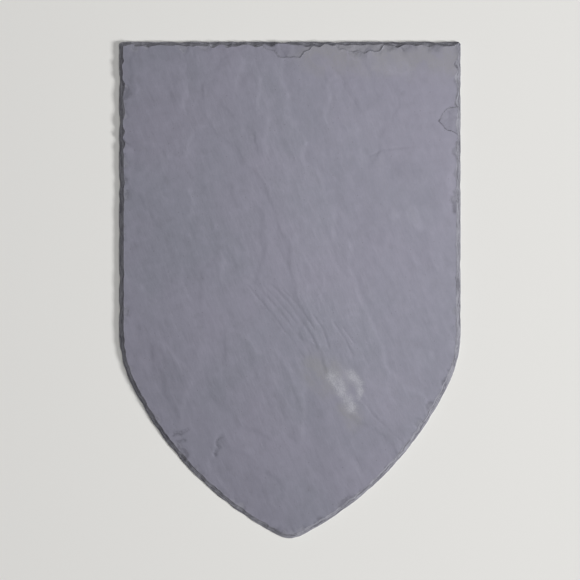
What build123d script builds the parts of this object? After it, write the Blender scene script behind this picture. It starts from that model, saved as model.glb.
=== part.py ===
from build123d import *

import os
from math import acos, atan2, ceil, cos, degrees, hypot, radians, sin, sqrt
from random import Random

# One pointed-tail roofing slate, split from the block and dressed all round with a knife.
# It lies flat on its bed, with the bevelled face up, the head towards +Y and the tip towards -Y.
# The origin is on the bed, in the middle of the slate's length and width. Sizes are in millimetres.

# The slate
length = 320.0
width = 220.0
thickness = 4.5

# The tail: each side turns in at the shoulder, runs down the flank and ends in the nose
shoulder_radius = 75.0
shoulder_turn = 25.0
flank_radius = 212.0
nose_radius = 16.0

# The dressed edge: a bevel round the face, above a square land by the bed
land = 1.4
bevel_width = 3.2

# The hollows that the knife's strokes leave side by side along the bevel
stroke_radius = 16.0
stroke_spacing = 8.5
stroke_wander = 6.0
shallow_bite = 0.08
deep_bite = 0.42
most_skew = 25.0

# The nicks that go through the land, in the outline itself
nick_radius = 20.0
nick_spacing = 21.0
nick_wander = 16.0
nick_lean = 78.0
deep_nick = 0.45

# The worn corners of the head
corner_radius = 20.0
corner_bite = 1.2

# The flakes lost from the face, and the slope of their floors towards the edge
flake_depth = 0.8
flake_dip = 3.0

# Each flake along the head: its middle from the slate's middle, its span and its reach
head_flakes = [(40.0, 22.0, 7.0), (50.0, 23.0, 7.6), (0.0, 28.0, 11.0), (-9.0, 20.0, 7.5)]

# The flake at the right-hand side
side_flake_from_head = 51.0
side_flake_span = 17.0
side_flake_reach = 13.0

# The edges of the slate and the slope of its bevel
half_width = width / 2
head_y = length / 2
tip_y = -length / 2
bevel_drop = thickness - land
bevel_lean = degrees(atan2(bevel_drop, bevel_width))

# How far the flank has turned where it meets the nose, and so how high the tail is
shoulder_inset = shoulder_radius * (1 - cos(radians(shoulder_turn)))
flank_span = flank_radius * cos(radians(shoulder_turn)) - (half_width - shoulder_inset)
nose_turn = degrees(acos(flank_span / (flank_radius - nose_radius)))
shoulder_height = shoulder_radius * sin(radians(shoulder_turn))
flank_height = flank_radius * (sin(radians(nose_turn)) - sin(radians(shoulder_turn)))
nose_height = nose_radius * (1 - sin(radians(nose_turn)))
shoulder_y = tip_y + nose_height + flank_height + shoulder_height

# Long enough for a stroke, or a cut through the slate, to run clear at both ends
stroke_length = 4 * hypot(bevel_width, bevel_drop)
through = 3 * thickness


def stroke_plane(distance, inset, height, lean, skew, radius, bite):
    """Plane whose Z is the axis of a round stroke that crosses the edge, a distance along the outline.

    The stroke runs down the edge at its lean from the level, and sinks by its bite under the point
    that lies inset from the outline at the given height. The outline runs clockwise, seen from
    above, so its outside is on the left.
    """
    place = outline_wire.position_at(distance, position_mode=PositionMode.LENGTH)
    along = outline_wire.tangent_at(distance, position_mode=PositionMode.LENGTH)
    up = Vector(0, 0, 1)
    outward = up.cross(along)
    downhill = outward * cos(radians(lean)) - up * sin(radians(lean))
    clear = outward * sin(radians(lean)) + up * cos(radians(lean))
    axis = downhill * cos(radians(skew)) + along * sin(radians(skew))
    middle = place - outward * inset + up * height + clear * (radius - bite)
    return Plane(origin=middle, x_dir=clear, z_dir=axis)


def wandering(spacing, wander):
    """Distances all along the outline, a spacing apart and each moved a little either way."""
    count = int(outline_wire.length // spacing)
    pitch = outline_wire.length / count
    return [(i + 0.5) * pitch + wander * (chance.random() - 0.5) for i in range(count)]


def cut_strokes(planes, radius, spacing):
    """Cut round strokes from the slate in rounds, so that the strokes of one round stand apart."""
    rounds = ceil(2 * radius / spacing) + 1
    for first in range(rounds):
        with Locations(*planes[first::rounds]):
            Cylinder(radius, stroke_length, mode=Mode.SUBTRACT)


def cut_flake(origin, tilt, reach_x, reach_y):
    """Cut a flake's hollow: half an oval on the edge, with a floor that dips towards that edge."""
    with BuildSketch(Plane(origin=origin).rotated(tilt)) as oval:
        Ellipse(reach_x, reach_y)
    extrude(oval.sketch, amount=through, mode=Mode.SUBTRACT)


with BuildPart() as slate:
    # Outline: half of it drawn from the middle of the head to the tip, then mirrored
    with BuildSketch() as outline:
        with BuildLine():
            head = Line((0, head_y), (half_width, head_y))
            side = Line(head @ 1, (half_width, shoulder_y))
            shoulder = JernArc(side @ 1, side % 1, shoulder_radius, -shoulder_turn)
            flank = JernArc(shoulder @ 1, shoulder % 1, flank_radius, shoulder_turn - nose_turn)
            JernArc(flank @ 1, flank % 1, nose_radius, nose_turn - 90)
            mirror(about=Plane.YZ)
        make_face()
    extrude(amount=thickness)

    # Bevel that the dressing leaves all round the face
    face = slate.faces().sort_by(Axis.Z)[-1]
    chamfer(face.edges(), length=bevel_width, length2=bevel_drop, reference=face)

    # Flakes lost from the head and from one side
    floor_z = thickness - flake_depth
    for middle, span, reach in head_flakes:
        cut_flake((middle, head_y, floor_z), (-flake_dip, 0, 0), span / 2, reach)
    side_flake_y = head_y - side_flake_from_head
    cut_flake((half_width, side_flake_y, floor_z), (0, flake_dip, 0), side_flake_reach, side_flake_span / 2)

    # Strokes side by side along the bevel
    chance = Random(11)
    outline_wire = outline.wires()[0]
    strokes = []
    for distance in wandering(stroke_spacing, stroke_wander):
        skew = most_skew * (2 * chance.random() - 1)
        bite = shallow_bite + (deep_bite - shallow_bite) * chance.random()
        strokes.append(
            stroke_plane(
                distance, bevel_width / 2, land + bevel_drop / 2, bevel_lean, skew, stroke_radius, bite
            )
        )
    cut_strokes(strokes, stroke_radius, stroke_spacing)

    # Nicks through the land
    nicks = []
    for distance in wandering(nick_spacing, nick_wander):
        bite = deep_nick * chance.random()
        nicks.append(stroke_plane(distance, 0, 0, nick_lean, 0, nick_radius, bite))
    cut_strokes(nicks, nick_radius, nick_spacing)

    # Worn corners of the head
    corner_reach = (corner_radius - corner_bite) / sqrt(2)
    corner_x = half_width + corner_reach
    corner_y = head_y + corner_reach
    with Locations((corner_x, corner_y), (-corner_x, corner_y)):
        Cylinder(corner_radius, through, mode=Mode.SUBTRACT)

slate.part.label = "slate"

os.makedirs("parts", exist_ok=True)
export_step(slate.part, "parts/slate.step")

size = slate.part.bounding_box().size
print("size", round(size.X, 2), round(size.Y, 2), round(size.Z, 2), "volume", round(slate.part.volume))
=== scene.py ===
import logging
import math
from collections.abc import Callable, Iterable, Sequence
from dataclasses import dataclass
from enum import Enum
from random import Random

import bmesh
import bpy
from bmesh.types import BMEdge, BMesh, BMFace, BMVert
from bpy.types import Material, Node, NodeSocket, NodeTree, Object
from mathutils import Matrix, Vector, noise
from mathutils.kdtree import KDTree


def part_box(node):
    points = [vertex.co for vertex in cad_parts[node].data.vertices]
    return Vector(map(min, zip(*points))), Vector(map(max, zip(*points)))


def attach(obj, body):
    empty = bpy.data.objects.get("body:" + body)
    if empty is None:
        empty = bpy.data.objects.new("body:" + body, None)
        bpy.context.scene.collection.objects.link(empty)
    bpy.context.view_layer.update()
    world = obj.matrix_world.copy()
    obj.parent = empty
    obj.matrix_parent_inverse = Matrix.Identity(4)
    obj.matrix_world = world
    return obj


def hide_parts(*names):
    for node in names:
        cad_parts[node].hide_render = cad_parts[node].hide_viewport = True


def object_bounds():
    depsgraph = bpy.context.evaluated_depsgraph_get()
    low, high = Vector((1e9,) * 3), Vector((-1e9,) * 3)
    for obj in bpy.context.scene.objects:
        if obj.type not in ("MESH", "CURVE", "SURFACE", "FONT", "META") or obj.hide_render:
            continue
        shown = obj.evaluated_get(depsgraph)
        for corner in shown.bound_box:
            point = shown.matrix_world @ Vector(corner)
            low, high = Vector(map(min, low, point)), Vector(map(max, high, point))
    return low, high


# A roofing slate with a pointed tail, split by hand and dressed round its edges, lying face up.
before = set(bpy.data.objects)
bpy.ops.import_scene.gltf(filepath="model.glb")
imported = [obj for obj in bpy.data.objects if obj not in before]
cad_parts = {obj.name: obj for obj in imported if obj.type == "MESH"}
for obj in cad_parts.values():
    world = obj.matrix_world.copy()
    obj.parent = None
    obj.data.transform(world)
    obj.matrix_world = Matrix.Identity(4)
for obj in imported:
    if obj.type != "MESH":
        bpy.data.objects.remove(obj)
CAD_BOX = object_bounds()

log = logging.getLogger("slate")

# A millimetre in metres, and the layers that the broken edge shows, in millimetres
MM = 0.001
LAYER = 0.4

Point = tuple[float, float]
Span = tuple[float, float]
Cell = BMEdge | BMFace
Colour = tuple[float, float, float, float]


def srgb(red: int, green: int, blue: int) -> Colour:
    """Give the linear colour of an 8-bit screen colour.

    Args:
        red: Red level, from 0 to 255.
        green: Green level, from 0 to 255.
        blue: Blue level, from 0 to 255.

    Returns:
        The linear colour, with an alpha of 1.
    """
    levels = [level / 255 for level in (red, green, blue)]
    linear = [c / 12.92 if c <= 0.04045 else ((c + 0.055) / 1.055) ** 2.4 for c in levels]
    return (linear[0], linear[1], linear[2], 1.0)


def smooth_step(low: float, high: float, value: float) -> float:
    """Rise smoothly from 0 at low to 1 at high.

    Args:
        low: Where the rise begins.
        high: Where the rise ends.
        value: The value to place between them.

    Returns:
        The height of the rise at the value.
    """
    share = min(max((value - low) / (high - low), 0.0), 1.0)
    return share * share * (3 - 2 * share)


def soft_noise(x: float, y: float, z: float) -> float:
    """Give smooth noise from about 0 to 1, with blotches about 1 across."""
    return 0.5 + 0.5 * noise.noise(Vector((x, y, z)))


class Seed(float, Enum):
    """Which noise each pattern takes, so that no two are alike."""

    LEDGES = 3.0
    MARKS_ACROSS = 41.0
    MARKS_ALONG = 51.0
    MARK_PATCHES = 61.0


def wandering(
    x: float, y: float, seed: float, coarse: float = 9.0, fine: float = 2.5, fine_share: float = 0.4
) -> float:
    """Give signed noise that wanders over a coarse length, with a little of a fine one.

    Args:
        x: Place across the slate, in millimetres.
        y: Place along it.
        seed: Which noise to take.
        coarse: The coarse length.
        fine: The fine length.
        fine_share: How strong the fine noise is beside the coarse.

    Returns:
        The noise, from about -1 to 1.
    """
    broad = noise.noise(Vector((x / coarse, y / coarse, seed)))
    return broad + fine_share * noise.noise(Vector((x / fine, y / fine, seed + 2)))


def distance_to_line(place: Point, line: Sequence[Point]) -> float:
    """Measure from a place to the nearest point of a bent line.

    Args:
        place: The place measured from.
        line: The corners of the line, in order.

    Returns:
        The shortest distance, in the unit of the places.
    """
    nearest = math.inf
    for (ax, ay), (bx, by) in zip(line, line[1:]):
        run_x, run_y = bx - ax, by - ay
        length_squared = run_x * run_x + run_y * run_y
        share = ((place[0] - ax) * run_x + (place[1] - ay) * run_y) / length_squared
        share = min(max(share, 0.0), 1.0)
        nearest = min(nearest, math.hypot(place[0] - ax - share * run_x, place[1] - ay - share * run_y))
    return nearest


class Side(Enum):
    """The kinds of surface that a slate has."""

    FACE = "riven face"
    BED = "riven back"
    EDGE = "dressed edge"


@dataclass(frozen=True)
class MarkStyle:
    """How one kind of mark looks. Lengths are in millimetres."""

    colour: Colour
    cover: float
    wander: float
    patch: float
    flecked: float
    sink: float
    faintest: float = 0.35
    core: float = 0.05
    patch_span: Span = (0.25, 0.60)


class MarkKind(Enum):
    """The kinds of mark on the face."""

    SCORE = MarkStyle(srgb(70, 70, 79), cover=0.26, wander=1.0, patch=12.0, flecked=0.2, sink=0.05)
    # Chips are real hollows in the face; their dark colour is painted shade inside them
    CHIP_WITH_PAINTED_SHADE = MarkStyle(srgb(58, 58, 64), cover=0.38, wander=3.6, patch=8.0, flecked=0.5, sink=0.12)
    SCUFF = MarkStyle(srgb(168, 168, 175), cover=0.74, wander=4.0, patch=4.5, flecked=0.45, sink=0.0)
    HAZE = MarkStyle(srgb(105, 105, 102), cover=0.60, wander=9.0, patch=9.0, flecked=0.4, sink=0.0)
    # Stains: darker tone of the stone, and in one broad patch painted shade
    STAIN_AND_PAINTED_SHADE = MarkStyle(srgb(72, 73, 82), cover=0.22, wander=9.0, patch=12.0, flecked=0.3, sink=0.0)

    @property
    def layer(self) -> str:
        """Name of the mesh's layer that says where the marks of this kind are."""
        return self.name.lower()


@dataclass(frozen=True)
class Mark:
    """One mark on the face: a bent line, in millimetres from the slate's middle, and its width."""

    kind: MarkKind
    line: tuple[Point, ...]
    width: float

    def gap(self, x: float, y: float) -> float:
        """Give the distance from a place to the mark's wandering line.

        Args:
            x: Place across the slate.
            y: Place along it.

        Returns:
            The distance, or infinity far from the mark.
        """
        style = self.kind.value
        margin = self.width + style.wander
        for value, corners in zip((x, y), zip(*self.line)):
            if not min(corners) - margin < value < max(corners) + margin:
                return math.inf
        shift_x = style.wander / 2 * wandering(x, y, Seed.MARKS_ACROSS)
        shift_y = style.wander / 2 * wandering(x, y, Seed.MARKS_ALONG)
        return distance_to_line((x + shift_x, y + shift_y), self.line)

    def strength(self, x: float, y: float) -> float:
        """Give how strong the mark is at a place, from 0 to 1.

        Args:
            x: Place across the slate.
            y: Place along it.

        Returns:
            The strength: fading from the line outwards, and patchy along it.
        """
        gap = self.gap(x, y)
        if gap > self.width / 2:
            return 0.0
        style = self.kind.value
        patches = soft_noise(x / style.patch, y / style.patch, Seed.MARK_PATCHES)
        patchy = smooth_step(*style.patch_span, patches)
        faded = 1 - smooth_step(style.core, 1.0, 2 * gap / self.width)
        return faded * (style.faintest + (1 - style.faintest) * patchy)


# The marks on the face, the cut ones first
MARKS = (
    Mark(MarkKind.SCORE, ((-27, 3), (-12, -15), (2, -33), (9, -43)), 2.2),
    Mark(MarkKind.SCORE, ((-22, 4), (-8, -12), (6, -30), (13, -41)), 2.8),
    Mark(MarkKind.SCORE, ((-17, 3), (-5, -10), (5, -22)), 1.8),
    Mark(MarkKind.SCORE, ((-12, 4), (0, -9), (13, -28), (17, -36)), 2.6),
    Mark(MarkKind.SCORE, ((-4, 0), (6, -11), (15, -24)), 1.8),
    Mark(MarkKind.SCORE, ((15, -16), (21, -25), (25, -37)), 2.2),
    Mark(MarkKind.SCORE, ((28, -21), (35, -31), (40, -42)), 2.4),
    Mark(MarkKind.SCORE, ((34, -24), (41, -34)), 1.7),
    Mark(MarkKind.SCORE, ((46, -70), (54, -81), (66, -92), (72, -97)), 2.2),
    Mark(MarkKind.SCORE, ((72, 128), (68, 117), (65, 108)), 2.2),
    Mark(MarkKind.SCORE, ((51, 86), (60, 90), (81, 92)), 2.2),
    # Chips: hollows in the face, darkened with painted shade
    Mark(MarkKind.CHIP_WITH_PAINTED_SHADE, ((-75, -93), (-70, -92), (-66, -89)), 6.0),
    Mark(MarkKind.CHIP_WITH_PAINTED_SHADE, ((-73, -98), (-68, -97)), 4.0),
    Mark(MarkKind.CHIP_WITH_PAINTED_SHADE, ((-48, -106), (-45, -102), (-47, -98), (-44, -93)), 3.8),
    Mark(MarkKind.SCUFF, ((28, -56), (31, -60), (33, -65)), 13.0),
    Mark(MarkKind.SCUFF, ((39, -55), (44, -60)), 11.0),
    Mark(MarkKind.SCUFF, ((45, -64), (44, -68)), 8.0),
    Mark(MarkKind.SCUFF, ((37, -70), (39, -75)), 11.0),
    Mark(MarkKind.HAZE, ((18, -50), (26, -56)), 36.0),
    Mark(MarkKind.HAZE, ((37, -79), (41, -83)), 20.0),
    Mark(MarkKind.HAZE, ((16, 154), (104, 150)), 40.0),
    Mark(MarkKind.STAIN_AND_PAINTED_SHADE, ((60, 153), (108, 150)), 22.0),
    Mark(MarkKind.STAIN_AND_PAINTED_SHADE, ((14, -70), (18, -90), (24, -112), (28, -136)), 22.0),
    Mark(MarkKind.STAIN_AND_PAINTED_SHADE, ((52, 48), (57, 36)), 20.0),
    Mark(MarkKind.STAIN_AND_PAINTED_SHADE, ((36, 22), (46, 8)), 22.0),
    Mark(MarkKind.STAIN_AND_PAINTED_SHADE, ((72, 78), (92, 60)), 28.0),
    Mark(MarkKind.STAIN_AND_PAINTED_SHADE, ((84, 32), (88, 14)), 16.0),
    # Broad darker patch over the left flank and towards the tip: partly the stone's own tone, partly
    # painted shade where the sheen fades
    Mark(MarkKind.STAIN_AND_PAINTED_SHADE, ((-88, -40), (-70, -84), (-44, -118), (-10, -150)), 64.0),
)


@dataclass(frozen=True)
class Relief:
    """The low relief that splitting leaves on a side of the slate, in millimetres."""

    wave: float = 85.0
    wave_height: float = 0.34
    ripple: float = 8.0
    ripple_stretch: float = 3.2
    ripple_height: float = 0.09
    ripple_fractal: tuple[float, float, int] = (0.9, 2.1, 4)
    lamina: float = 52.0
    lamina_stretch: float = 1.8
    lamina_steps: float = 2.4
    lamina_edge: float = 0.09
    lamina_height: float = 0.08
    bend: float = 0.10
    bend_size: tuple[float, float] = (13.0, 19.0)
    tone_change: float = 2.4
    least: float = 0.15
    lean: float = math.radians(24)
    seed: float = 0.0

    def at(self, x: float, y: float) -> tuple[float, float]:
        """Find the split surface at a place.

        Args:
            x: Place across the slate, in millimetres.
            y: Place along the slate, in millimetres.

        Returns:
            How far the surface lies under its highest points, in millimetres, and the tone of the
            layer that shows there, from 0 to 1.
        """
        along = y * math.cos(self.lean) - x * math.sin(self.lean)
        across = x * math.cos(self.lean) + y * math.sin(self.lean)
        wave = soft_noise(x / self.wave, y / self.wave, self.seed)
        spot = Vector((across / self.ripple, along / self.ripple / self.ripple_stretch, self.seed + 4))
        ripple = min(max(0.5 + 0.5 * noise.fractal(spot, *self.ripple_fractal), 0.0), 1.0)
        bend_x, bend_y = self.bend_size
        bend = self.bend * noise.noise(Vector((x / bend_x, y / bend_y, self.seed + 9)))
        long_way = along / self.lamina / self.lamina_stretch
        layer = soft_noise(across / self.lamina, long_way, self.seed + 7) + bend
        step, rise = divmod(2 * layer * self.lamina_steps, 1.0)
        crossed = smooth_step(0, self.lamina_edge, rise)
        tone = (1 - crossed) * self.tone(step) + crossed * self.tone(step + 1)
        depth = wave * self.wave_height + ripple * self.ripple_height - self.least
        return max(depth + max(step + crossed - 1, 0.0) * self.lamina_height, 0.0), tone

    def tone(self, step: float) -> float:
        """Give the tone of a layer, from 0 to 1."""
        return 0.5 + 0.5 * math.sin(self.tone_change * step + self.seed)


def search_tree(points: Sequence[Vector]) -> KDTree:
    """Make a search tree of points, numbered in their order."""
    tree = KDTree(len(points))
    for number, point in enumerate(points):
        tree.insert(point, number)
    tree.balance()
    return tree


@dataclass(frozen=True)
class Spall:
    """A shell-shaped scar that the dressing knife left on the edge of the face, in millimetres."""

    middle: Vector
    radius: float
    depth: float

    def depth_at(self, place: Vector) -> float:
        """Give how deep the scar is at a place."""
        reach = math.hypot(place.x - self.middle.x, place.y - self.middle.y) / self.radius
        return self.depth * max(1 - reach * reach, 0.0)


@dataclass
class Spalls:
    """The scars along the rim of the face, in millimetres."""

    rim: Sequence[Vector]
    points_each: int = 21
    smallest: float = 1.8
    largest: float = 5.0
    size_power: int = 3
    slope: float = 0.06
    least_force: float = 0.7
    force_range: float = 0.6
    bend: float = 1.2
    bend_length: float = 2.5
    seed: int = 5

    def __post_init__(self) -> None:
        """Choose the scars' places and sizes."""
        chance = Random(self.seed)
        middles = chance.sample(self.rim, len(self.rim) // self.points_each)
        power = self.size_power
        self.scars = [self.scar(middle, chance.random() ** power, chance.random()) for middle in middles]
        self.tree = search_tree(middles)

    def scar(self, middle: Vector, size: float, force: float) -> Spall:
        """Make one scar.

        Args:
            middle: Its middle, on the rim.
            size: Its size between the smallest and the largest, from 0 to 1.
            force: How deep it went for its size, from 0 to 1.

        Returns:
            The scar.
        """
        radius = self.smallest + (self.largest - self.smallest) * size
        return Spall(middle, radius, radius * self.slope * (self.least_force + self.force_range * force))

    def depth_at(self, place: Vector) -> float:
        """Give the depth of the scars at a place by the rim.

        Args:
            place: The place.

        Returns:
            The depth.
        """
        near = self.tree.find_range(place, self.largest + self.bend)
        if not near:
            return 0.0
        spot = place / self.bend_length
        bend = Vector((noise.noise(spot), noise.noise(spot.zxy + Vector((9, 0, 0))), 0))
        return max(self.scars[number].depth_at(place + self.bend * bend) for _, number, _ in near)


@dataclass(frozen=True)
class Ledges:
    """The steps that the layers of the bevel have broken to, in millimetres."""

    rise: float = 0.9
    tread: float = 0.45
    wave: float = 7.0
    share: float = 0.75
    start: Span = (1.2, 2.2)

    def height(self, x: float, y: float, z: float) -> float:
        """Find how high the broken stone stands at a place on the bevel.

        Args:
            x: Place across the slate, in millimetres.
            y: Place along it.
            z: Height of the plain bevel there.

        Returns:
            The height, part of the way from the plain bevel to the ledge.
        """
        shift = 2 * self.rise * soft_noise(x / self.wave, y / self.wave, Seed.LEDGES)
        step, climb = divmod((z + shift) / self.rise, 1.0)
        ledge = (step + smooth_step(self.tread, 1.0, climb)) * self.rise - shift
        share = self.share * smooth_step(*self.start, z)
        return z + share * (ledge - z)


@dataclass(frozen=True)
class Grit:
    """How unevenly the broken layers stand back from the plain edge, in millimetres."""

    depth: float = 0.13
    coarse: float = 5.0
    coarse_change: float = 1.7
    fine: float = 1.4
    fine_change: float = 2.3

    def depth_at(self, x: float, y: float, z: float) -> float:
        """Give how far the stone stands back at a place, changing from layer to layer."""
        layer = z / LAYER
        coarse = soft_noise(x / self.coarse, y / self.coarse, self.coarse_change * layer)
        fine = soft_noise(x / self.fine, y / self.fine, self.fine_change * layer)
        return self.depth * (coarse + fine)


@dataclass(frozen=True)
class Flakes:
    """How the stone broke where flakes came off the face, in millimetres."""

    lip: Span = (0.03, 0.12)
    dulled: float = 0.2
    roughness: float = 0.06
    ripple: float = 3.5
    ripple_fractal: tuple[float, float, int] = (0.7, 2.2, 3)
    wander: float = 2.2
    wander_length: float = 5.5
    inset_span: Span = (0.5, 3.5)
    head_span: Span = (85.0, 95.0)

    def rough(self, x: float, y: float) -> float:
        """Give the depth of the coarse break on a flake's floor at a place."""
        spot = Vector((x, y, 0)) / self.ripple
        return self.roughness * (1 + noise.fractal(spot, *self.ripple_fractal))

    def bend(self, x: float, y: float, inset: float) -> Vector:
        """Bend the flakes near the head out of their plain ovals.

        Args:
            x: Place across the slate.
            y: Place along it.
            inset: How far the place lies inside the head and the long sides.

        Returns:
            How far the stone there shifts sideways: nothing at the outline or well below the head.
        """
        share = smooth_step(*self.inset_span, inset) * smooth_step(*self.head_span, y)
        if share == 0:
            return Vector((0, 0, 0))
        spot = Vector((x, y, 0)) / self.wander_length
        shift = Vector((noise.noise(spot), noise.noise(spot.yxz + Vector((7, 0, 0))), 0))
        return share * self.wander * shift


@dataclass
class RoofSlate:
    """The slate: its own outline and dressed edge, cut into fine cells and given its split relief."""

    node: str = "slate"
    name: str = "dressed_slate"
    merge: float = 0.005
    weld: float = 0.001
    splinter: float = 0.05
    flat_tolerance: float = math.radians(0.4)
    sharp_angle: float = math.radians(38)
    finest_cell: float = 0.65
    rim_band: float = 3.4
    mark_band: float = 0.5
    face_stride: int = 2
    bed_stride: int = 4
    flat_from: float = 0.9
    level: Span = (0.80, 0.97)
    least_lean: float = 0.2
    bed_share: float = 0.4
    rim_grit: float = 0.3
    scarred_part: Span = (0.2, 0.7)
    scar_lip: Span = (0.03, 0.15)
    scar_dulled: float = 0.5
    face_relief: Relief = Relief()
    bed_relief: Relief = Relief(seed=31.0)
    ledges: Ledges = Ledges()
    grit: Grit = Grit()
    flakes: Flakes = Flakes()
    marks: tuple[Mark, ...] = MARKS

    def __post_init__(self) -> None:
        """Read the slate's own box from the frame."""
        low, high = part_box(self.node)
        self.low: Vector = low / MM
        self.high: Vector = high / MM

    def build(self, material: Material) -> Object:
        """Make the finished slate.

        Args:
            material: The stone's material.

        Returns:
            The slate as a mesh object that rides in the frame.
        """
        bm = self.cut_cells(self.solid_outline())
        self.weather(bm)
        mesh = bpy.data.meshes.new(self.name)
        bm.to_mesh(mesh)
        bm.free()
        mesh.materials.append(material)
        piece = bpy.data.objects.new(self.name, mesh)
        bpy.context.scene.collection.objects.link(piece)
        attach(piece, "root")
        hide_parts(self.node)
        return piece

    def solid_outline(self) -> BMesh:
        """Copy the solid in millimetres, with its loose triangles merged into whole flat faces.

        Returns:
            The slate's plain shape.
        """
        bm = bmesh.new()
        bm.from_mesh(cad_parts[self.node].data)
        bmesh.ops.scale(bm, vec=(1 / MM,) * 3, verts=bm.verts)
        bmesh.ops.remove_doubles(bm, verts=bm.verts, dist=self.merge)
        bmesh.ops.dissolve_limit(bm, angle_limit=self.flat_tolerance, verts=bm.verts, edges=bm.edges)
        bmesh.ops.recalc_face_normals(bm, faces=bm.faces)
        return bm

    def side_of(self, face: BMFace) -> Side:
        """Tell which kind of surface a face belongs to.

        Args:
            face: A face of the slate.

        Returns:
            The side of the slate that the face is part of.
        """
        if face.normal.z < -self.flat_from:
            return Side.BED
        return Side.FACE if face.normal.z > self.flat_from else Side.EDGE

    def sides(self, corner: BMVert | BMEdge) -> set[Side]:
        """Tell which kinds of surface meet at a point or an edge."""
        return {self.side_of(face) for face in corner.link_faces}

    def cut_cells(self, solid: BMesh) -> BMesh:
        """Cut every side into cells: small on the face, finest round its rim and down the edge.

        Args:
            solid: The slate's plain shape, which is used up.

        Returns:
            The slate, cut into cells.
        """
        for axis, finest in ((0, self.finest_cell), (1, self.finest_cell), (2, LAYER)):
            borders = [edge for edge in solid.edges if len(self.sides(edge)) > 1]
            self.slice(solid, borders, self.planes(axis, finest), axis)
        parts = {side: self.part(solid, side) for side in Side}
        solid.free()
        edge = parts[Side.EDGE]
        for axis in (0, 1):
            along = [face for face in edge.faces if abs(face.normal[axis]) <= abs(face.normal[1 - axis])]
            self.slice(edge, along, self.planes(axis, self.finest_cell), axis)
            for side, stride in ((Side.BED, self.bed_stride), (Side.FACE, self.face_stride)):
                planes = self.planes(axis, self.finest_cell, stride)
                self.slice(parts[side], list(parts[side].faces), planes, axis)
        self.slice(edge, list(edge.faces), self.planes(2, LAYER), 2)
        whole = self.joined(parts.values())
        rim = search_tree(self.rim(whole))
        self.halve(whole, lambda place: rim.find(place)[2] < self.rim_band or self.in_marks(place))
        many_sided = [face for face in whole.faces if len(face.verts) > 4]
        bmesh.ops.triangulate(whole, faces=many_sided, quad_method="BEAUTY", ngon_method="BEAUTY")
        self.clear_splinters(whole)
        return whole

    def clear_splinters(self, bm: BMesh) -> None:
        """Close up the shortest edges, and take off the loose flaps that this leaves.

        Args:
            bm: The slate, cut into cells.
        """
        bmesh.ops.dissolve_degenerate(bm, dist=self.splinter, edges=bm.edges)
        flaps = [face for face in bm.faces if sum(edge.is_boundary for edge in face.edges) > 1]
        bmesh.ops.delete(bm, geom=flaps, context="FACES")

    def part(self, solid: BMesh, side: Side) -> BMesh:
        """Copy the faces of one side.

        Args:
            solid: The slate's plain shape.
            side: The side to copy.

        Returns:
            That side alone.
        """
        part = solid.copy()
        rest = [face for face in part.faces if self.side_of(face) is not side]
        bmesh.ops.delete(part, geom=rest, context="FACES")
        return part

    def joined(self, parts: Iterable[BMesh]) -> BMesh:
        """Join the sides into one closed mesh.

        Args:
            parts: The sides, which are used up.

        Returns:
            The whole slate.
        """
        whole = bmesh.new()
        for part in parts:
            mesh = bpy.data.meshes.new("side")
            part.to_mesh(mesh)
            part.free()
            whole.from_mesh(mesh)
            bpy.data.meshes.remove(mesh)
        bmesh.ops.remove_doubles(whole, verts=whole.verts, dist=self.weld)
        return whole

    def halve(self, bm: BMesh, chosen: Callable[[Vector], bool]) -> None:
        """Halve the cells of the face at the chosen places.

        Args:
            bm: The slate, cut into cells.
            chosen: Tells whether the cell at a place is to be halved.
        """
        face_cells = [face for face in bm.faces if self.side_of(face) is Side.FACE]
        cells = [face for face in face_cells if chosen(face.calc_center_median())]
        edges = dict.fromkeys(edge for face in cells for edge in face.edges)
        inner = [edge for edge in edges if self.sides(edge) == {Side.FACE}]
        bmesh.ops.subdivide_edges(bm, edges=inner, cuts=1, use_grid_fill=True)

    def in_marks(self, place: Vector) -> bool:
        """Tell whether a place lies on or beside a mark that is cut into the face."""
        sunk = (mark for mark in self.marks if mark.kind.value.sink > 0)
        return any(mark.gap(place.x, place.y) < mark.width / 2 + self.mark_band for mark in sunk)

    def planes(self, axis: int, finest: float, stride: int = 1) -> list[float]:
        """Space cutting planes evenly through the slate.

        Args:
            axis: The axis that the planes are square to.
            finest: The most that the finest planes may be apart.
            stride: How many of the finest cells lie between two planes.

        Returns:
            The places of the planes along the axis, in order.
        """
        low, high = self.low[axis], self.high[axis]
        count = self.bed_stride * math.ceil((high - low) / finest / self.bed_stride)
        return [low + (high - low) * i / count for i in range(stride, count, stride)]

    def slice(self, bm: BMesh, cells: Sequence[Cell], planes: Sequence[float], axis: int) -> None:
        """Cut faces, or edges alone, by the middle plane of a row, and each half by its own planes.

        Args:
            bm: The mesh that the cells are in.
            cells: The faces or edges to cut.
            planes: The places of the planes along the axis, in order.
            axis: The axis that the planes are square to.
        """
        if not planes or not cells:
            return
        middle = len(planes) // 2
        kind = type(cells[0])
        square = Vector((0, 0, 0))
        square[axis] = 1
        geometry = dict.fromkeys(vert for cell in cells for vert in cell.verts)
        if kind is BMFace:
            geometry |= dict.fromkeys(edge for face in cells for edge in face.edges)
        geometry |= dict.fromkeys(cells)
        cut = bmesh.ops.bisect_plane(
            bm, geom=list(geometry), dist=self.weld, plane_co=square * planes[middle], plane_no=square
        )
        halves: tuple[list[Cell], list[Cell]] = ([], [])
        for cell in cut["geom"]:
            if isinstance(cell, kind):
                place = sum(vert.co[axis] for vert in cell.verts) / len(cell.verts)
                halves[place > planes[middle]].append(cell)
        self.slice(bm, halves[0], planes[:middle], axis)
        self.slice(bm, halves[1], planes[middle + 1 :], axis)

    def rim(self, bm: BMesh) -> list[Vector]:
        """Find the rim, where the face meets the dressed edge.

        Args:
            bm: The slate.

        Returns:
            The rim's points, from the left to the right.
        """
        meeting = {Side.FACE, Side.EDGE}
        return sorted((vert.co.copy() for vert in bm.verts if meeting <= self.sides(vert)), key=tuple)

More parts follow.
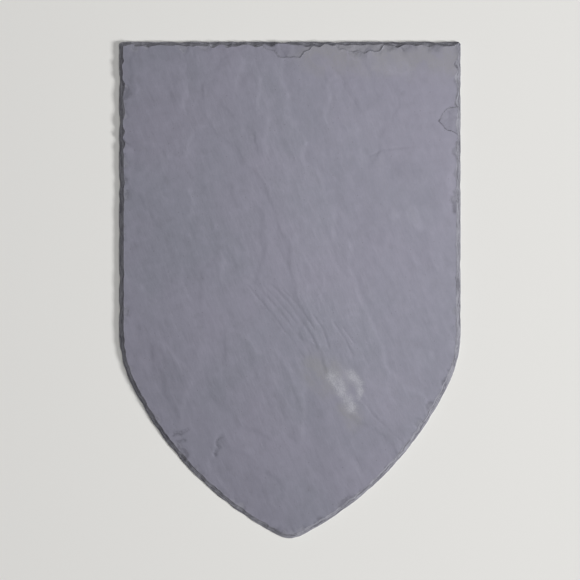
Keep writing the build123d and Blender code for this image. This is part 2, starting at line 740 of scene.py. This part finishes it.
    def weather(self, bm: BMesh) -> None:
        """Give both sides their split relief, break the edge into ledges and mark the broken stone.

        Args:
            bm: The slate, cut into cells.
        """
        bm.normal_update()
        broken = bm.verts.layers.float.new("broken")
        lamina = bm.verts.layers.float.new("lamina")
        layers = {kind: bm.verts.layers.float.new(kind.layer) for kind in MarkKind}
        normals = [vert.normal.copy() for vert in bm.verts]
        dressed = [self.sides(vert) == {Side.EDGE} for vert in bm.verts]
        spalls = Spalls([point for point in self.rim(bm) if point.z > self.high.z - self.weld])
        for vert, normal, on_edge in zip(bm.verts, normals, dressed):
            x, y, z = vert.co
            on_face = smooth_step(*self.level, normal.z)
            on_bed = smooth_step(*self.level, -normal.z)
            height = smooth_step(0, self.high.z, z)
            if on_bed > 0:
                vert.co.z += (1 - height) * on_bed * self.bed_share * self.bed_relief.at(x, y)[0]
            elif on_edge:
                vert.co.z = min(self.ledges.height(x, y, z), self.high.z)
            depth, vert[lamina] = self.face_relief.at(x, y) if height > 0 else (0.0, 0.0)
            scarred = smooth_step(*self.scarred_part, height) * spalls.depth_at(vert.co)
            flaked = on_face * smooth_step(*self.flakes.lip, self.high.z - z)
            if on_face > 0:
                for mark in self.marks:
                    layer = layers[mark.kind]
                    vert[layer] = max(vert[layer], on_face * mark.strength(x, y))
                depth += max(kind.value.sink * vert[layers[kind]] for kind in MarkKind)
                depth += flaked * self.flakes.rough(x, y)
            vert.co.z -= height * (depth + scarred)
            outward = Vector((normal.x, normal.y, 0))
            if outward.length > self.least_lean:
                share = 1.0 if on_edge else self.rim_grit
                vert.co -= outward.normalized() * self.grit.depth_at(x, y, z) * share
            inset = min(self.high.x - abs(x), self.high.y - y)
            vert.co += height * self.flakes.bend(x, y, inset)
            vert.co = Vector(map(max, self.low, map(min, self.high, vert.co)))
            scar_tone = self.scar_dulled * smooth_step(*self.scar_lip, scarred)
            vert[broken] = max(1 - on_face - on_bed, self.flakes.dulled * flaked, scar_tone)
        bmesh.ops.recalc_face_normals(bm, faces=bm.faces)
        for face in bm.faces:
            face.smooth = True
        for edge in bm.edges:
            edge.smooth = edge.calc_face_angle(0.0) < self.sharp_angle
        bmesh.ops.scale(bm, vec=(MM,) * 3, verts=bm.verts)


class Recipe:
    """A short way to write a material's nodes."""

    def __init__(self, tree: NodeTree) -> None:
        """Start on an empty node tree."""
        self.tree = tree
        self.tree.nodes.clear()

    def node(self, kind: str, **settings: object) -> Node:
        """Add a node.

        Args:
            kind: The node's type name.
            **settings: Properties of the node, by name.

        Returns:
            The new node.
        """
        node = self.tree.nodes.new(kind)
        for name, value in settings.items():
            setattr(node, name, value)
        return node

    def put(self, socket: NodeSocket, value: object) -> None:
        """Link a socket to another, or set it to a plain value."""
        if isinstance(value, NodeSocket):
            self.tree.links.new(value, socket)
        else:
            socket.default_value = value

    def feed(self, node: Node, **inputs: object) -> Node:
        """Set or link a node's inputs, named with underscores for spaces.

        Args:
            node: The node to feed.
            **inputs: A socket to link, or a plain value to set, for each input.

        Returns:
            The same node.
        """
        for name, value in inputs.items():
            self.put(node.inputs[name.replace("_", " ")], value)
        return node

    def sum(self, kind: str, operation: str, values: Sequence[object]) -> NodeSocket:
        """Do one sum on numbers or vectors.

        Args:
            kind: The type name of the node that does it.
            operation: The name of the sum.
            values: The values or sockets that go in.

        Returns:
            The result's socket.
        """
        node = self.node(kind, operation=operation)
        for socket, value in zip(node.inputs, values):
            self.put(socket, value)
        return node.outputs[0]

    def maths(self, operation: str, *values: object) -> NodeSocket:
        """Do one sum on numbers, given in order."""
        return self.sum("ShaderNodeMath", operation, values)

    def between(self, value: NodeSocket, low: float, high: float) -> NodeSocket:
        """Spread the values from low to high over 0 to 1, smoothly, and hold the rest at the ends."""
        node = self.node("ShaderNodeMapRange", interpolation_type="SMOOTHSTEP")
        self.feed(node, Value=value, From_Min=low, From_Max=high)
        return node.outputs["Result"]

    def touch(self, value: NodeSocket, span: Span, strength: float) -> NodeSocket:
        """Spread a span of values over 0 to 1, smoothly, and weaken it.

        Args:
            value: The values.
            span: The values that become 0 and 1.
            strength: What the 1 is weakened to.

        Returns:
            The weakened share.
        """
        return self.maths("MULTIPLY", self.between(value, *span), strength)

    def noise(self, place: NodeSocket, size: float, detail: float, rough: float) -> NodeSocket:
        """Make soft noise whose blotches are about a size across.

        Args:
            place: The coordinates.
            size: The blotches' size, in millimetres.
            detail: How many finer layers are laid over it.
            rough: How strong the finer layers are.

        Returns:
            The noise, from 0 to 1.
        """
        node = self.node("ShaderNodeTexNoise")
        self.feed(node, Vector=place, Scale=1 / (size * MM), Detail=detail, Roughness=rough)
        return node.outputs["Fac"]

    def stretched(self, place: NodeSocket, turn: float, stretch: Sequence[float]) -> NodeSocket:
        """Turn coordinates about the vertical and stretch them.

        Args:
            place: The coordinates.
            turn: The angle, in radians.
            stretch: How much each axis is stretched.

        Returns:
            The new coordinates.
        """
        turned = self.node("ShaderNodeMapping", vector_type="POINT")
        self.feed(turned, Vector=place, Rotation=(0, 0, turn))
        return self.sum("ShaderNodeVectorMath", "DIVIDE", (turned.outputs[0], stretch))

    def mix(self, share: object, first: object, second: object) -> NodeSocket:
        """Mix two colours.

        Args:
            share: How much of the second colour is laid on, from 0 to 1.
            first: The colour underneath.
            second: The colour on top.

        Returns:
            The mixed colour.
        """
        node = self.node("ShaderNodeMix", data_type="RGBA")
        for number, value in ((0, share), (6, first), (7, second)):
            self.put(node.inputs[number], value)
        return node.outputs[2]


@dataclass(frozen=True)
class StoneLook:
    """What the parts of the stone's material share: where each kind of surface is, and its noises."""

    place: NodeSocket
    broken: NodeSocket
    lamina: NodeSocket
    grain: NodeSocket
    fine: NodeSocket
    marks: dict[MarkKind, NodeSocket]


@dataclass(frozen=True)
class SlateFinish:
    """The stone: split slate in lavender grey, with matt broken edges and the marks on its face."""

    lavender: Colour = srgb(100, 99, 110)
    blue_grey: Colour = srgb(92, 94, 103)
    streak: Colour = srgb(76, 77, 84)
    bloom: Colour = srgb(113, 112, 124)
    speck: Colour = srgb(48, 48, 52)
    broken: Colour = srgb(122, 122, 129)
    broken_dark: Colour = srgb(64, 64, 71)
    crushed: Colour = srgb(150, 151, 154)
    sheen_tint: Colour = (0.88, 0.85, 1.0, 1.0)
    lean: float = math.radians(24)
    cloud_size: float = 75.0
    mottle_size: float = 6.5
    grain_size: float = 3.2
    grain_stretch: float = 3.6
    dust_size: float = 0.9
    cloud_span: Span = (0.35, 0.65)
    lamina_share: float = 0.28
    streak_span: Span = (0.50, 0.30)
    streak_share: float = 0.20
    pale_span: Span = (0.45, 0.75)
    pale_share: float = 0.40
    dark_span: Span = (0.48, 0.28)
    dark_share: float = 0.24
    dust_span: Span = (0.55, 0.75)
    dust_share: float = 0.30
    fleck_span: Span = (0.35, 0.65)
    speck_gap: float = 3.1
    speck_rarity: float = 0.80
    speck_span: Span = (0.16, 0.06)
    speck_share: float = 0.5
    layer_size: tuple[float, float, float] = (14.0, 14.0, 0.45)
    layer_span: Span = (0.58, 0.36)
    crushed_share: float = 0.4
    break_size: float = 1.7
    grain_height: float = 0.085
    dust_height: float = 0.022
    break_height: float = 0.22
    smoothest: float = 0.28
    grain_dull: float = 0.14
    dust_dull: float = 0.08
    lamina_dull: float = 0.05
    broken_dull: float = 0.35
    refraction: float = 1.70

    def material(self) -> Material:
        """Make the stone's material.

        Returns:
            The finished material.
        """
        material = bpy.data.materials.new("split_slate")
        material.use_nodes = True
        recipe = Recipe(material.node_tree)
        look = self.look(recipe)
        colour = self.marked_colour(recipe, look, self.stone_colour(recipe, look))
        colour = recipe.mix(look.broken, colour, self.broken_colour(recipe, look))
        bump = recipe.node("ShaderNodeBump")
        recipe.feed(bump, Strength=1.0, Distance=1.0, Height=self.height(recipe, look))
        shader = recipe.node("ShaderNodeBsdfPrincipled")
        recipe.feed(shader, Base_Color=colour, Roughness=self.roughness(recipe, look))
        recipe.feed(shader, Normal=bump.outputs[0], IOR=self.refraction, Specular_Tint=self.sheen_tint)
        output = recipe.node("ShaderNodeOutputMaterial")
        recipe.feed(output, Surface=shader.outputs[0])
        return material

    def look(self, recipe: Recipe) -> StoneLook:
        """Make what the parts of the material share.

        Args:
            recipe: The material's nodes.

        Returns:
            The shared sockets.
        """
        place = recipe.node("ShaderNodeTexCoord").outputs["Object"]
        fine = recipe.noise(place, self.dust_size, 4.0, 0.6)
        along_grain = recipe.stretched(place, -self.lean, (1, self.grain_stretch, 1))
        return StoneLook(
            place=place,
            broken=recipe.node("ShaderNodeAttribute", attribute_name="broken").outputs["Fac"],
            lamina=recipe.node("ShaderNodeAttribute", attribute_name="lamina").outputs["Fac"],
            grain=recipe.noise(along_grain, self.grain_size, 5.0, 0.62),
            fine=fine,
            marks={kind: self.mask(recipe, fine, kind) for kind in MarkKind},
        )

    def mask(self, recipe: Recipe, fine: NodeSocket, kind: MarkKind) -> NodeSocket:
        """Make a mask that is 1 on the marks of one kind, and flecked by the fine noise.

        Args:
            recipe: The material's nodes.
            fine: The finest noise.
            kind: The kind of mark.

        Returns:
            The mask's socket.
        """
        strength = recipe.node("ShaderNodeAttribute", attribute_name=kind.layer).outputs["Fac"]
        flecked = kind.value.flecked
        flecks = recipe.between(fine, *self.fleck_span)
        flecks = recipe.maths("MULTIPLY_ADD", flecks, 2 * flecked, 1 - flecked)
        return recipe.maths("MINIMUM", recipe.maths("MULTIPLY", strength, flecks), 1.0)

    def stone_colour(self, recipe: Recipe, look: StoneLook) -> NodeSocket:
        """Colour the split stone: soft clouds, streaks along the grain, bloom and dark specks.

        Args:
            recipe: The material's nodes.
            look: What the parts of the material share.

        Returns:
            The colour's socket.
        """
        clouds = recipe.noise(look.place, self.cloud_size, 3.0, 0.55)
        colour = recipe.mix(recipe.between(clouds, *self.cloud_span), self.lavender, self.blue_grey)
        colour = recipe.mix(recipe.maths("MULTIPLY", look.lamina, self.lamina_share), colour, self.bloom)
        streaks = recipe.touch(look.grain, self.streak_span, self.streak_share)
        colour = recipe.mix(streaks, colour, self.streak)
        mottle = recipe.noise(look.place, self.mottle_size, 4.0, 0.6)
        pale = recipe.touch(mottle, self.pale_span, self.pale_share)
        dark = recipe.touch(mottle, self.dark_span, self.dark_share)
        colour = recipe.mix(dark, recipe.mix(pale, colour, self.bloom), self.streak)
        dust = recipe.touch(look.fine, self.dust_span, self.dust_share)
        colour = recipe.mix(dust, colour, self.bloom)
        return self.specked(recipe, look, colour)

    def specked(self, recipe: Recipe, look: StoneLook, colour: NodeSocket) -> NodeSocket:
        """Scatter a few small dark specks over a colour.

        Args:
            recipe: The material's nodes.
            look: What the parts of the material share.
            colour: The stone's colour.

        Returns:
            The colour's socket.
        """
        cells = recipe.node("ShaderNodeTexVoronoi", feature="F1")
        recipe.feed(cells, Vector=look.place, Scale=1 / (self.speck_gap * MM))
        chosen = recipe.node("ShaderNodeSeparateColor")
        recipe.feed(chosen, Color=cells.outputs["Color"])
        rare = recipe.maths("GREATER_THAN", chosen.outputs[0], self.speck_rarity)
        specks = recipe.between(cells.outputs["Distance"], *self.speck_span)
        specks = recipe.maths("MULTIPLY", specks, rare)
        return recipe.mix(recipe.maths("MULTIPLY", specks, self.speck_share), colour, self.speck)

    def marked_colour(self, recipe: Recipe, look: StoneLook, colour: NodeSocket) -> NodeSocket:
        """Lay the marks over the stone's colour, with painted shade in the chips and over the left
        flank.

        Args:
            recipe: The material's nodes.
            look: What the parts of the material share.
            colour: The stone's colour.

        Returns:
            The colour's socket.
        """
        for kind in reversed(MarkKind):
            share = recipe.maths("MULTIPLY", look.marks[kind], kind.value.cover)
            colour = recipe.mix(share, colour, kind.value.colour)
        return colour

    def broken_colour(self, recipe: Recipe, look: StoneLook) -> NodeSocket:
        """Colour the broken stone, in thin dark and pale layers one above the other.

        Args:
            recipe: The material's nodes.
            look: What the parts of the material share.

        Returns:
            The colour's socket.
        """
        level = recipe.stretched(look.place, 0.0, self.layer_size)
        layers = recipe.noise(level, 1.0, 3.0, 0.7)
        colour = recipe.mix(recipe.between(layers, *self.layer_span), self.broken, self.broken_dark)
        crushed = recipe.touch(look.fine, self.dust_span, self.crushed_share)
        return recipe.mix(crushed, colour, self.crushed)

    def roughness(self, recipe: Recipe, look: StoneLook) -> NodeSocket:
        """Give the split stone its silky sheen, and leave the broken and scuffed stone dull.

        Args:
            recipe: The material's nodes.
            look: What the parts of the material share.

        Returns:
            The roughness's socket.
        """
        base = recipe.maths("MULTIPLY_ADD", look.grain, self.grain_dull, self.smoothest)
        base = recipe.maths("MULTIPLY_ADD", look.fine, self.dust_dull, base)
        base = recipe.maths("MULTIPLY_ADD", look.lamina, self.lamina_dull, base)
        dull = recipe.maths("MAXIMUM", look.broken, look.marks[MarkKind.SCUFF])
        dull = recipe.maths("MAXIMUM", dull, look.marks[MarkKind.CHIP_WITH_PAINTED_SHADE])
        return recipe.maths("MULTIPLY_ADD", dull, self.broken_dull, base)

    def height(self, recipe: Recipe, look: StoneLook) -> NodeSocket:
        """Add up the fine relief that is too small for the mesh, in metres.

        Args:
            recipe: The material's nodes.
            look: What the parts of the material share.

        Returns:
            The height's socket.
        """
        height = recipe.maths("MULTIPLY", look.grain, self.grain_height * MM)
        height = recipe.maths("MULTIPLY_ADD", look.fine, self.dust_height * MM, height)
        coarse = recipe.noise(look.place, self.break_size, 3.0, 0.6)
        crumbled = recipe.maths("MULTIPLY", coarse, look.broken)
        return recipe.maths("MULTIPLY_ADD", crumbled, self.break_height * MM, height)


@dataclass(frozen=True)
class PlainFinish:
    """A plain matt finish, in one colour."""

    name: str
    colour: Colour
    roughness: float = 0.9

    def material(self) -> Material:
        """Make the plain material.

        Returns:
            The finished material.
        """
        material = bpy.data.materials.new(self.name)
        material.use_nodes = True
        recipe = Recipe(material.node_tree)
        shader = recipe.node("ShaderNodeBsdfPrincipled")
        recipe.feed(shader, Base_Color=self.colour, Roughness=self.roughness)
        output = recipe.node("ShaderNodeOutputMaterial")
        recipe.feed(output, Surface=shader.outputs[0])
        return material


@dataclass(frozen=True)
class Lamp:
    """A square soft lamp that points at the middle of the slate, and the light that it gives there."""

    name: str
    turn: float
    rise: float
    reach: float
    size: float
    level: float

    def place(self) -> Object:
        """Hang the lamp at its turn about the slate and its rise from the level.

        Returns:
            The lamp.
        """
        turn, rise = math.radians(self.turn), math.radians(self.rise)
        light = bpy.data.lights.new(self.name, "AREA")
        light.shape = "SQUARE"
        light.size = self.size
        light.energy = self.level * (math.pi * self.reach) ** 2 / math.sin(rise)
        lamp = bpy.data.objects.new(self.name, light)
        level = math.cos(rise)
        towards = Vector((math.cos(turn) * level, math.sin(turn) * level, math.sin(rise)))
        lamp.location = towards * self.reach
        lamp.rotation_euler = towards.to_track_quat("Z", "Y").to_euler()
        bpy.context.scene.collection.objects.link(lamp)
        return lamp


@dataclass
class Studio:
    """A plain pale floor, soft light mainly from the right, and a camera straight above the slate."""

    floor_size: float = 4.0
    floor_colour: Colour = srgb(221, 220, 217)
    sky_level: float = 0.03
    seen_sky: Colour = srgb(232, 232, 230)
    lens: float = 85.0
    sensor: float = 36.0
    fill: float = 0.86
    lamps: tuple[Lamp, ...] = (
        Lamp("sheen_lamp", turn=14, rise=73, reach=1.75, size=1.0, level=0.53),
        Lamp("raking_lamp", turn=-24, rise=28, reach=8.0, size=1.26, level=0.48),
    )

    def build(self) -> None:
        """Lay the floor, hang the lamps and set up the camera."""
        scene = bpy.context.scene
        scene.view_settings.view_transform = "Standard"
        self.floor()
        self.sky()
        for lamp in self.lamps:
            lamp.place()
        scene.camera = self.camera()

    def floor(self) -> Object:
        """Lay the floor under the slate.

        Returns:
            The floor.
        """
        bm = bmesh.new()
        bmesh.ops.create_grid(bm, x_segments=1, y_segments=1, size=self.floor_size / 2)
        mesh = bpy.data.meshes.new("floor")
        bm.to_mesh(mesh)
        bm.free()
        mesh.materials.append(PlainFinish("pale_floor", self.floor_colour).material())
        floor = bpy.data.objects.new("floor", mesh)
        bpy.context.scene.collection.objects.link(floor)
        return floor

    def sky(self) -> None:
        """Light the room evenly, and show it paler than it shines."""
        world = bpy.data.worlds.new("room")
        bpy.context.scene.world = world
        world.use_nodes = True
        recipe = Recipe(world.node_tree)
        path = recipe.node("ShaderNodeLightPath")
        seen = recipe.maths("ADD", path.outputs["Is Camera Ray"], path.outputs["Is Glossy Ray"])
        seen = recipe.maths("ADD", seen, path.outputs["Is Transmission Ray"])
        seen = recipe.maths("MINIMUM", seen, 1.0)
        level = (self.sky_level,) * 3 + (1.0,)
        light = recipe.node("ShaderNodeBackground")
        recipe.feed(light, Color=recipe.mix(seen, level, self.seen_sky))
        output = recipe.node("ShaderNodeOutputWorld")
        recipe.feed(output, Surface=light.outputs[0])

    def camera(self) -> Object:
        """Hang the camera straight above the slate, with the head at the top of the picture.

        Returns:
            The camera.
        """
        data = bpy.data.cameras.new("overhead_camera")
        data.lens = self.lens
        data.sensor_width = self.sensor
        low, high = CAD_BOX
        span = max(high.x - low.x, high.y - low.y) / self.fill
        camera = bpy.data.objects.new("overhead_camera", data)
        height = high.z + span * self.lens / self.sensor
        camera.location = ((low.x + high.x) / 2, (low.y + high.y) / 2, height)
        bpy.context.scene.collection.objects.link(camera)
        return camera


def main() -> None:
    """Build the slate and the studio round it, and report each piece."""
    logging.basicConfig(level=logging.INFO, format="%(name)s: %(message)s")
    Studio().build()
    piece = RoofSlate().build(SlateFinish().material())
    triangles = sum(len(face.vertices) - 2 for face in piece.data.polygons)
    log.info("%s has %d triangles", piece.name, triangles)


if __name__ == "__main__":
    main()
